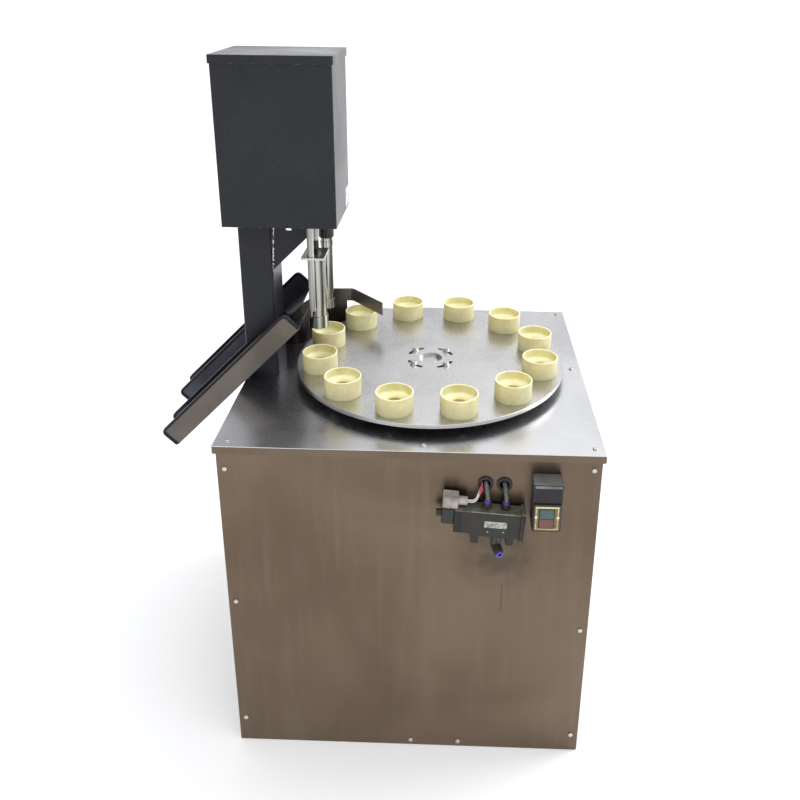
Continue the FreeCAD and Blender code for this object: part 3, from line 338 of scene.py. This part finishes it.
def chute_sheet():
    """Dark sheet of the chutes: brushed along the slope, brownish outside, with bluish painted shade
    inside.
    """
    dark = (0.115, 0.098, 0.085)
    light = (0.165, 0.145, 0.128)
    inner_shade_dark = (0.055, 0.057, 0.070)
    inner_shade_light = (0.090, 0.093, 0.112)
    edge_tone = (0.4, 0.38, 0.36)
    outer_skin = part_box("near_chute")[0].y + 0.7 * mm

    g = Paint("chute_sheet", Metallic=0.85)
    clouds = g.noise(9, 4, 0.55)
    slope = g.tree.nodes.new("ShaderNodeMapping")
    slope.inputs["Rotation"].default_value = (0, CHUTE_SLOPE, 0)
    slope.inputs["Scale"].default_value = (1.5, 60, 60)
    g.feed(slope.inputs["Vector"], g.place["Object"])
    fine = g.tree.nodes.new("ShaderNodeTexNoise")
    fine.inputs["Scale"].default_value = 50
    g.feed(fine.inputs["Vector"], slope.outputs[0])
    grain = fine.outputs[0]
    outer = g.mottled(clouds, dark, light)
    # painted shade: the inside of the chutes is darker and bluer than the outer skin
    inner_shade = g.mottled(clouds, inner_shade_dark, inner_shade_light)
    colour = g.colours(g.span(g.axis("Y"), outer_skin, outer_skin + 0.3 * mm), outer, inner_shade)
    colour = g.colours(1.0, colour, g.span(grain, 0.3, 0.7, 0.86, 1.12), "MULTIPLY")
    colour = g.worn(colour, 1.0 * mm, 0.4, edge_tone)
    g.bump(grain, 0.06, 0.2 * mm, 0.6 * mm)
    return g.finish(colour, g.span(clouds, 0.3, 0.7, 0.36, 0.5))


def guard_sheet():
    """The bent guard: dark brown painted shade low down and on its left leg, greenish grey painted light
    along the top of its arm.
    """
    shaded_dark = (0.030, 0.020, 0.020)
    shaded_light = (0.055, 0.040, 0.040)
    lit_dark = (0.15, 0.138, 0.125)
    lit_light = (0.23, 0.215, 0.198)
    edge_tone = (0.30, 0.29, 0.26)
    low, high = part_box("sweep_guard")
    height = high.z - low.z

    g = Paint("guard_sheet", Metallic=0.6)
    clouds = g.noise(12, 4, 0.6)
    # painted light on the top of the arm, painted shade below it and on the left leg
    rise = g.maths("ADD", g.axis("Z"), g.times(clouds, 30 * mm))
    upper = g.span(rise, low.z + 0.55 * height, low.z + 0.85 * height)
    arm = g.span(g.axis("X"), low.x + 105 * mm, low.x + 150 * mm)
    shaded = g.mottled(clouds, shaded_dark, shaded_light)
    lit = g.mottled(clouds, lit_dark, lit_light)
    colour = g.colours(g.times(upper, arm), shaded, lit)
    colour = g.worn(colour, 1.0 * mm, 0.5, edge_tone)
    g.bump(g.noise(200, 3, 0.6), 0.08, 0.2 * mm, 0.8 * mm)
    return g.finish(colour, g.span(clouds, 0.3, 0.7, 0.34, 0.5))


# ---------------------------------------------------------------- nests, tubes and rods
def nest_polymer():
    """Cast nest polymer: pale yellow, a little translucent, browner in the bore, with painted shade on
    its walls and towards its foot.
    """
    top_dark = (0.90, 0.87, 0.52)
    top_light = (0.96, 0.94, 0.64)
    shaded_wall_dark = (0.60, 0.55, 0.31)
    shaded_wall_light = (0.70, 0.65, 0.40)
    foot_shade_tone = (0.52, 0.48, 0.24)
    bore_tone = (0.62, 0.44, 0.17)
    box_middle = (0.5, 0.5, 0.0)

    g = Paint("nest_polymer", Subsurface_Weight=0.35, Subsurface_Scale=0.012, Specular_IOR_Level=0.4)
    g.shader.inputs["Subsurface Radius"].default_value = (1.0, 0.85, 0.35)
    clouds = g.noise(45, 4, 0.55)
    top = g.mottled(clouds, top_dark, top_light)
    # painted shade: the walls darker than the lit tops
    shaded_wall = g.mottled(clouds, shaded_wall_dark, shaded_wall_light)
    colour = g.colours(g.facing("Z", 0.2, 0.8), shaded_wall, top)
    # painted shade: darker towards the foot
    foot_shade = g.span(g.axis("Z", "Generated"), 0.0, 0.5, 0.55, 0.0)
    colour = g.colours(foot_shade, colour, foot_shade_tone)
    off_axis = g.distance(box_middle, (1, 1, 0), "Generated")
    bore = g.times(g.span(off_axis, 0.19, 0.36, 1.0, 0.0), g.span(clouds, 0.3, 0.75, 0.35, 0.85))
    colour = g.colours(bore, colour, bore_tone)
    g.bump(g.noise(260, 3, 0.6), 0.12, 0.4 * mm, 1.2 * mm)
    return g.finish(colour, g.span(clouds, 0.3, 0.7, 0.38, 0.55))


def polished_tube():
    """Polished tube with painted reflections as dark and bright lengthwise streaks, smears and darker
    turned ends.
    """
    dark = (0.060, 0.060, 0.050)
    light = (0.46, 0.46, 0.43)
    smeared = (0.20, 0.20, 0.17)
    edge_tone = (0.12, 0.115, 0.10)

    g = Paint("polished_tube", Metallic=1.0)
    # painted reflections: dark and bright lengthwise bands round the tube
    streaks = g.noise(75, 2, 0.5, (1, 1, 0.012))
    smear = g.noise(25, 4, 0.6, (1, 1, 0.3))
    colour = g.mottled(streaks, dark, light, 0.34, 0.62)
    colour = g.colours(g.span(smear, 0.45, 0.75, 0.0, 0.45), colour, smeared)
    colour = g.worn(colour, 0.8 * mm, 0.6, edge_tone)
    g.bump(streaks, 0.05, 0.1 * mm, 0.5 * mm)
    return g.finish(colour, g.span(smear, 0.35, 0.7, 0.12, 0.26))


def rod_painted_reflection():
    """The front piston rod: dark as a painted reflection, with a paler turned length near the cylinder.
    """
    reflection_dark = (0.022, 0.021, 0.018)
    reflection_light = (0.075, 0.072, 0.062)
    bright_dark = (0.50, 0.50, 0.48)
    bright_light = (0.70, 0.70, 0.68)
    turned_middle = (0, 0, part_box("head_base_plate")[0].z - 21 * mm)

    g = Paint("rod_painted_reflection", Metallic=1.0)
    rings = g.noise(90, 3, 0.6, (1, 1, 6))
    # painted reflection: the rod's dark colour
    reflection = g.mottled(rings, reflection_dark, reflection_light, 0.35, 0.65)
    bright = g.mottled(rings, bright_dark, bright_light, 0.35, 0.65)
    turned = g.maths("MINIMUM", g.patch(turned_middle, (Z_WAY,), (12 * mm,), 1.0 * mm), 0.5)
    g.bump(rings, 0.10, 0.1 * mm, 0.5 * mm)
    return g.finish(g.colours(turned, reflection, bright), g.span(rings, 0.3, 0.7, 0.18, 0.34))


# ---------------------------------------------------------------- valve and switch
def valve_casting():
    """The valve body: dark olive casting with painted light on top and a painted highlight along its top
    front edge, black at its ends.
    """
    dark = (0.017, 0.015, 0.011)
    light = (0.032, 0.029, 0.022)
    adapter_tone = (0.010, 0.010, 0.009)
    end_tone = (0.008, 0.007, 0.006)
    top_painted_light = (0.17, 0.17, 0.13)
    edge_highlight_tone = (0.42, 0.42, 0.34)
    plate_dark = (0.20, 0.21, 0.17)
    plate_light = (0.42, 0.43, 0.37)
    flange_tone = (0.020, 0.026, 0.022)
    screw_tone = (0.55, 0.55, 0.50)
    edge_tone = (0.40, 0.40, 0.32)
    low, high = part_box("valve_body")
    adapter_end = low.x + 16 * mm
    end_start = high.x - 6 * mm
    tilt = math.radians(-4)
    ways = ((math.cos(tilt), 0, math.sin(tilt)), (-math.sin(tilt), 0, math.cos(tilt)))
    middle = Vector(((low.x + high.x) / 2 + 11 * mm, low.y, (low.z + high.z) / 2 + 12 * mm))
    plate_middle = middle + Vector((0, 0, 3 * mm))
    flange_middle = middle - Vector((0, 0, 13 * mm))

    g = Paint("valve_casting", Metallic=0.35)
    clouds = g.noise(60, 4, 0.6)
    colour = g.mottled(clouds, dark, light)
    adapter = g.span(g.axis("X"), adapter_end, adapter_end + 0.6 * mm, 1.0, 0.0)
    colour = g.colours(adapter, colour, adapter_tone)
    end_plate = g.span(g.axis("X"), end_start, end_start + 1 * mm)
    colour = g.colours(end_plate, colour, end_tone)
    # painted light: the top paler than the sides
    top = g.times(g.facing("Z", 0.5, 0.9), g.span(clouds, 0.25, 0.7, 0.4, 0.95))
    colour = g.colours(top, colour, top_painted_light)
    # painted highlight along the top's front edge
    edge_highlight = g.times(top, g.span(g.axis("Y"), low.y + 3 * mm, low.y + 5 * mm, 1.0, 0.0))
    colour = g.colours(edge_highlight, colour, edge_highlight_tone)
    front = g.front()
    plate = g.patch(plate_middle, ways, (20 * mm, 6.5 * mm))
    blank = g.mottled(g.noise(160, 3, 0.6), plate_dark, plate_light, 0.42, 0.6)
    colour = g.colours(g.times(plate, front), colour, blank)
    flange = g.patch(flange_middle, ways, (18 * mm, 7 * mm), 1.0 * mm)
    colour = g.colours(g.times(flange, front), colour, flange_tone)
    for side in (-14 * mm, 14 * mm):
        screw_middle = middle + Vector((side, 0, -12 * mm))
        screw = g.span(g.distance(screw_middle), 2.0 * mm, 2.6 * mm, 1.0, 0.0)
        colour = g.colours(screw, colour, screw_tone)
    colour = g.worn(colour, 1.2 * mm, 0.45, edge_tone)
    g.bump(g.noise(350, 2, 0.5), 0.15, 0.15 * mm, 1.0 * mm)
    return g.finish(colour, g.span(clouds, 0.3, 0.7, 0.34, 0.5))


def switch_frame():
    """The switch's frame: gold near its rim, dark at the rim and dull brown round the buttons, with
    painted highlights across its top and at its two sides.
    """
    gold_dark = (0.30, 0.22, 0.06)
    gold_light = (0.50, 0.42, 0.16)
    dull_dark = (0.10, 0.070, 0.038)
    dull_light = (0.17, 0.125, 0.072)
    top_highlight_tone = (0.85, 0.80, 0.45)
    rim_tone = (0.022, 0.015, 0.006)
    glint_tone = (0.90, 0.78, 0.60)
    low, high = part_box("switch_bezel")
    middle = (low + high) / 2
    half = (high - low) / 2
    top_highlight_start = high.z - 7 * mm

    g = Paint("switch_frame", Specular_IOR_Level=0.6)
    across = g.maths("ABSOLUTE", g.minus(g.axis("X"), middle.x))
    along = g.maths("ABSOLUTE", g.minus(g.axis("Z"), middle.z))
    rim = g.maths("MAXIMUM", g.minus(across, half.x), g.minus(along, half.z))
    clouds = g.noise(140, 4, 0.6)
    gold = g.mottled(clouds, gold_dark, gold_light)
    dull = g.mottled(clouds, dull_dark, dull_light)
    colour = g.colours(g.span(rim, -6.6 * mm, -5.8 * mm), dull, gold)
    # painted highlight across the top of the frame
    top_highlight = g.span(g.axis("Z"), top_highlight_start, top_highlight_start + 1 * mm)
    colour = g.colours(g.times(top_highlight, 0.6), colour, top_highlight_tone)
    colour = g.colours(g.span(rim, -3.5 * mm, -2.9 * mm), colour, rim_tone)
    # painted highlights at the frame's two sides
    for side in (-half.x, half.x):
        glint_middle = Vector((middle.x + side * 0.80, low.y, middle.z + 2 * mm))
        glint = g.span(g.distance(glint_middle, (1, 0, 1)), 1.2 * mm, 3.4 * mm, 1.0, 0.0)
        colour = g.colours(glint, colour, glint_tone)
    g.bump(g.noise(500, 2, 0.5), 0.10, 0.1 * mm, 0.8 * mm)
    return g.finish(colour, g.span(clouds, 0.3, 0.7, 0.28, 0.42))


def switch_case():
    """The switch's case: near black, with painted light on top and a painted highlight on the lip across
    its front.
    """
    dark = (0.007, 0.006, 0.010)
    light = (0.014, 0.012, 0.018)
    top_painted_light = (0.13, 0.13, 0.125)
    lip_highlight_dark = (0.10, 0.10, 0.10)
    lip_highlight_light = (0.22, 0.22, 0.215)
    low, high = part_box("switch_box")
    lip_middle = Vector(((low.x + high.x) / 2 + 1 * mm, low.y, high.z - 5 * mm))
    lip_half = ((high.x - low.x) / 2 - 3 * mm, 2.6 * mm)

    g = Paint("switch_plastic", Specular_IOR_Level=0.35)
    grain = g.noise(60, 4, 0.6)
    colour = g.mottled(grain, dark, light)
    # painted light: the top paler than the front
    top = g.times(g.facing("Z", 0.5, 0.9), g.span(grain, 0.25, 0.7, 0.6, 1.0))
    colour = g.colours(top, colour, top_painted_light)
    # painted highlight on the lip across the front
    lip_highlight = g.times(g.patch(lip_middle, (X_WAY, Z_WAY), lip_half, 0.8 * mm), g.front())
    colour = g.colours(lip_highlight, colour, g.mottled(grain, lip_highlight_dark, lip_highlight_light))
    g.bump(g.noise(800, 2, 0.5), 0.12, 0.1 * mm, 1.2 * mm)
    return g.finish(colour, g.span(grain, 0.3, 0.7, 0.28, 0.42))


def grey_tube():
    """Air tube: clear grey plastic, cloudy along its length."""
    dark = (0.11, 0.125, 0.105)
    light = (0.19, 0.21, 0.18)

    g = Paint("air_tube", Transmission_Weight=0.35, IOR=1.45, Subsurface_Weight=0.1)
    clouds = g.noise(70, 4, 0.6, (1, 1, 0.2))
    g.bump(clouds, 0.08, 0.1 * mm)
    return g.finish(g.mottled(clouds, dark, light), g.span(clouds, 0.3, 0.7, 0.18, 0.32))


def two_wires():
    """The two solenoid wires: white, with red sleeves where they enter the cabinet."""
    red_dark = (0.50, 0.05, 0.09)
    red_light = (0.68, 0.12, 0.17)
    white_dark = (0.66, 0.60, 0.57)
    white_light = (0.82, 0.77, 0.74)
    sleeve_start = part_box("valve_wires")[1].x - 8 * mm

    g = Paint("wire_cover")
    grain = g.noise(300, 3, 0.6)
    red = g.mottled(grain, red_dark, red_light)
    white = g.mottled(grain, white_dark, white_light)
    sleeve = g.span(g.axis("X"), sleeve_start, sleeve_start + 1.5 * mm)
    g.bump(grain, 0.08, 0.1 * mm)
    return g.finish(g.colours(sleeve, white, red), g.span(grain, 0.3, 0.7, 0.3, 0.45))


def weld_metal():
    """Weld metal: bright and dark blobs."""
    dark = (0.012, 0.012, 0.013)
    bright = (0.62, 0.62, 0.62)

    g = Paint("weld_metal", Metallic=0.9)
    blobs = g.noise(190, 4, 0.7)
    g.bump(blobs, 0.5, 0.6 * mm)
    return g.finish(g.mottled(blobs, dark, bright, 0.42, 0.58), g.span(blobs, 0.4, 0.6, 0.55, 0.25))


# ---------------------------------------------------------------- dressing the CAD nodes
def dress_sheet_metal():
    dress(panel_steel(), "front_panel", "left_panel", "right_panel", "back_panel")
    dress(lid_steel(), "lid")
    dress(head_paint(), "column", "column_gusset", "head_base_plate", "head_cover", "head_lid")
    dress(chute_sheet(), "near_chute", "far_chute")
    dress(guard_sheet(), "sweep_guard")
    rubber = moulded("edging_rubber", (0.004, 0.004, 0.005), (0.009, 0.009, 0.010), rough=(0.30, 0.42),
                     edge=2.0 * mm, size=500, haze=0.03, Specular_IOR_Level=0.3)
    dress(rubber, "chute_trims")
    primer = moulded("frame_primer", (0.085, 0.09, 0.095), (0.13, 0.135, 0.14), rough=(0.5, 0.65),
                     edge=1.2 * mm, size=400, Metallic=0.1)
    dress(primer, "cabinet_frame", "base_plate", "drive_plate")


def dress_table_and_presses():
    disc = brushed("disc_steel", (0.51, 0.505, 0.50), (0.61, 0.605, 0.60), rough=(0.24, 0.33),
                   grain=(30, 1.5, 30), cloud=5.0, edge=0.8 * mm)
    dress(disc, "table_disc")
    dress(nest_polymer(), *["cup_nest_%02d" % (k + 1) for k in range(NEST_COUNT)])
    dress(polished_tube(), "front_press_tube", "rear_press_rod", "guide_rod")
    dress(rod_painted_reflection(), "front_piston_rod")
    machined = brushed("machined_steel", (0.42, 0.42, 0.42), (0.58, 0.58, 0.57), rough=(0.22, 0.36),
                       grain=(25, 25, 2), cloud=12, edge=0.5 * mm, strength=0.1)
    dress(machined, "table_hub", "table_shaft", "table_gear", "drive_pinion", "table_bearings",
          "crosshead_plate")
    zinc = brushed("zinc_plate", (0.42, 0.40, 0.37), (0.66, 0.63, 0.58), rough=(0.25, 0.42),
                   grain=(8, 8, 8), cloud=90, edge=0.4 * mm, strength=0.12)
    dress(zinc, "cabinet_fasteners", "table_fasteners")
    barrel = brushed("cylinder_metal", (0.40, 0.41, 0.43), (0.52, 0.53, 0.55), rough=(0.28, 0.42),
                     grain=(20, 20, 2), cloud=15, edge=0.8 * mm)
    dress(barrel, "front_cylinder")
    anodised = moulded("black_anodised", (0.012, 0.012, 0.014), (0.024, 0.024, 0.027), rough=(0.25, 0.38),
                       edge=1.0 * mm, size=500, Metallic=0.4)
    dress(anodised, "rear_cylinder")


def dress_drive():
    housing = moulded("cast_housing", (0.10, 0.11, 0.12), (0.15, 0.16, 0.17), rough=(0.5, 0.65),
                      edge=1.5 * mm, size=250, Metallic=0.5)
    dress(housing, "bearing_housing")
    enamel = moulded("drive_enamel", (0.035, 0.075, 0.15), (0.05, 0.10, 0.19), rough=(0.3, 0.42),
                     edge=1.2 * mm, size=350, Coat_Weight=0.3)
    dress(enamel, "reduction_gearbox", "drive_motor")
    case = moulded("control_case", (0.50, 0.50, 0.47), (0.60, 0.60, 0.57), rough=(0.42, 0.55),
                   edge=1.5 * mm, size=800)
    dress(case, "control_unit")


def dress_valve_and_switch():
    dress(valve_casting(), "valve_body")
    coil = moulded("coil_plastic", (0.006, 0.006, 0.005), (0.013, 0.012, 0.010), rough=(0.32, 0.48),
                   edge=1.0 * mm, haze=0.03)
    dress(coil, "valve_coil")
    connector = moulded("connector_plastic", (0.20, 0.175, 0.15), (0.44, 0.40, 0.36), rough=(0.3, 0.45),
                        edge=0.8 * mm, size=300, dust=(0.06, 0.05, 0.04), haze=0.75)
    dress(connector, "valve_connector")
    fitting = moulded("fitting_plastic", (0.014, 0.015, 0.014), (0.035, 0.037, 0.034), rough=(0.3, 0.45),
                      edge=0.8 * mm)
    dress(fitting, "valve_fittings")
    ring = moulded("ring_plastic", (0.065, 0.035, 0.28), (0.11, 0.06, 0.42), rough=(0.25, 0.4),
                   edge=0.5 * mm, haze=0.05)
    dress(ring, "release_rings")
    grommet = moulded("grommet_rubber", (0.007, 0.005, 0.004), (0.016, 0.011, 0.008), rough=(0.4, 0.55),
                      edge=0.8 * mm, haze=0.04)
    dress(grommet, "cable_entries")
    dress(grey_tube(), "air_tubes")
    dress(two_wires(), "valve_wires")
    dress(switch_case(), "switch_box")
    dress(switch_frame(), "switch_bezel")
    green = moulded("green_button", (0.030, 0.075, 0.072), (0.050, 0.105, 0.095), rough=(0.3, 0.42),
                    edge=0.8 * mm, size=500, haze=0.2)
    dress(green, "start_button")
    red = moulded("red_button", (0.11, 0.042, 0.034), (0.16, 0.060, 0.045), rough=(0.3, 0.42),
                  edge=0.8 * mm, size=500, haze=0.2)
    dress(red, "stop_button")


# ---------------------------------------------------------------- what the CAD part leaves out
def weld_bead():
    """The rough bead down the joint of the column and its gusset."""
    chance = random.Random(7)
    rings = 70
    around = 10
    wander = 0.7 * mm
    thin, thick = 1.0, 2.3
    flatness = 0.6
    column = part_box("column")
    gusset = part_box("column_gusset")
    front = column[0].y - 0.2 * mm
    top = Vector((column[1].x + 7 * mm, front, gusset[1].z - 2 * mm))
    end = Vector((column[1].x + 0.5 * mm, front, gusset[0].z - 1 * mm))

    mesh = bmesh.new()
    rows = []
    for step in range(rings + 1):
        share = step / rings
        middle = top.lerp(end, share) + Vector((chance.uniform(-1.0, 1.0) * wander, 0, 0))
        taper = min(1.0, 8 * share + 0.2, 8 * (1 - share) + 0.2)
        radius = chance.uniform(thin, thick) * mm * taper
        row = []
        for turn in range(around):
            angle = 2 * math.pi * turn / around
            swell = radius * chance.uniform(0.85, 1.15)
            out = Vector((swell * math.cos(angle), flatness * swell * math.sin(angle), 0))
            row.append(mesh.verts.new(middle + out))
        rows.append(row)
    for one, two in zip(rows, rows[1:]):
        for turn in range(around):
            after = (turn + 1) % around
            mesh.faces.new((one[turn], one[after], two[after], two[turn]))
    mesh.faces.new(rows[0])
    mesh.faces.new(rows[-1][::-1])
    bmesh.ops.recalc_face_normals(mesh, faces=mesh.faces)
    data = bpy.data.meshes.new("weld_bead")
    mesh.to_mesh(data)
    mesh.free()
    for face in data.polygons:
        face.use_smooth = True
    bead = bpy.data.objects.new("weld_bead", data)
    bpy.context.scene.collection.objects.link(bead)
    data.materials.append(weld_metal())
    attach(bead, "cabinet")


# ---------------------------------------------------------------- stage, light and camera
def floor():
    """A wide, pale paper floor just under the cabinet."""
    width = 240.0
    dark = (0.86, 0.86, 0.86)
    light = (0.88, 0.88, 0.88)
    bpy.ops.mesh.primitive_plane_add(size=width, location=(0, 0, cad_box[0].z - 0.5 * mm))
    plane = bpy.context.object
    plane.name = "floor"
    g = Paint("floor_paper", Emission_Color=(1, 1, 1, 1), Emission_Strength=0.12)
    clouds = g.noise(0.8, 3, 0.5)
    g.bump(g.noise(300, 2, 0.5), 0.03, 0.2 * mm)
    colour = g.colours(clouds, dark, light)
    plane.data.materials.append(g.finish(colour, g.span(clouds, 0, 1, 0.6, 0.7)))


def sky():
    """Soft surroundings: brighter overhead, to the right and low behind, darker to the left."""
    seen_directly = 1.0
    overhead = 1.5
    world = bpy.data.worlds.new("studio")
    bpy.context.scene.world = world
    world.use_nodes = True
    g = Graph(world.node_tree)
    sides = g.span(g.axis("X", "Generated"), -0.32, 0.12, 0.62, 1.8)
    height = g.axis("Z", "Generated")
    rise = g.span(height, 0.38, 0.58, 0.48, 1.0)
    horizon = g.span(height, 0.14, 0.26, 1.0, 0.0)
    above = g.span(height, 0.6, 0.85)
    behind = g.span(g.axis("Y", "Generated"), 0.3, 0.7, 0.0, 1.7)
    around = g.maths("MAXIMUM", g.times(sides, rise), g.times(horizon, behind))
    strength = g.between(above, around, overhead)
    camera_ray = g.tree.nodes.new("ShaderNodeLightPath").outputs["Is Camera Ray"]
    background = g.tree.nodes["Background"]
    g.feed(background.inputs["Strength"], g.between(camera_ray, strength, seen_directly))
    g.feed(background.inputs["Color"], (0.97, 0.98, 1.0))


def softbox(name, place, target, size, power):
    light = bpy.data.lights.new(name, "AREA")
    light.shape = "RECTANGLE"
    light.size, light.size_y = size
    light.energy = power
    lamp = bpy.data.objects.new(name, light)
    bpy.context.scene.collection.objects.link(lamp)
    lamp.location = place
    lamp.rotation_euler = (Vector(target) - Vector(place)).to_track_quat("-Z", "Y").to_euler()


def camera():
    """The camera stands in front of the cabinet, above the table, and looks down at it."""
    stand = (0.0700, -1.5763, 1.4848)
    yaw, pitch, roll = -0.027, 0.349, 0.011
    ahead = Vector((math.sin(yaw) * math.cos(pitch), math.cos(yaw) * math.cos(pitch), -math.sin(pitch)))
    right = Vector((math.cos(yaw), -math.sin(yaw), 0.0))
    up = right.cross(ahead)
    side = right * math.cos(roll) + up * math.sin(roll)
    top = up * math.cos(roll) - right * math.sin(roll)
    data = bpy.data.cameras.new("camera")
    data.sensor_width = 36.0
    data.lens = 36.87
    data.shift_x = -0.0382
    data.shift_y = -0.1573
    data.clip_start, data.clip_end = 0.05, 500.0
    eye = bpy.data.objects.new("camera", data)
    bpy.context.scene.collection.objects.link(eye)
    turn = Matrix((side, top, -ahead)).transposed().to_4x4()
    eye.matrix_world = Matrix.Translation(stand) @ turn
    bpy.context.scene.camera = eye


dress_sheet_metal()
dress_table_and_presses()
dress_drive()
dress_valve_and_switch()
weld_bead()
floor()
sky()
softbox("key", place=(2.6, 0.9, 2.5), target=(0.0, 0.0, 0.9), size=(1.8, 1.8), power=60)
softbox("fill", place=(-1.6, -2.6, 2.2), target=(0.0, 0.0, 0.6), size=(2.0, 1.6), power=12)
camera()
bpy.context.scene.view_settings.view_transform = "Standard"
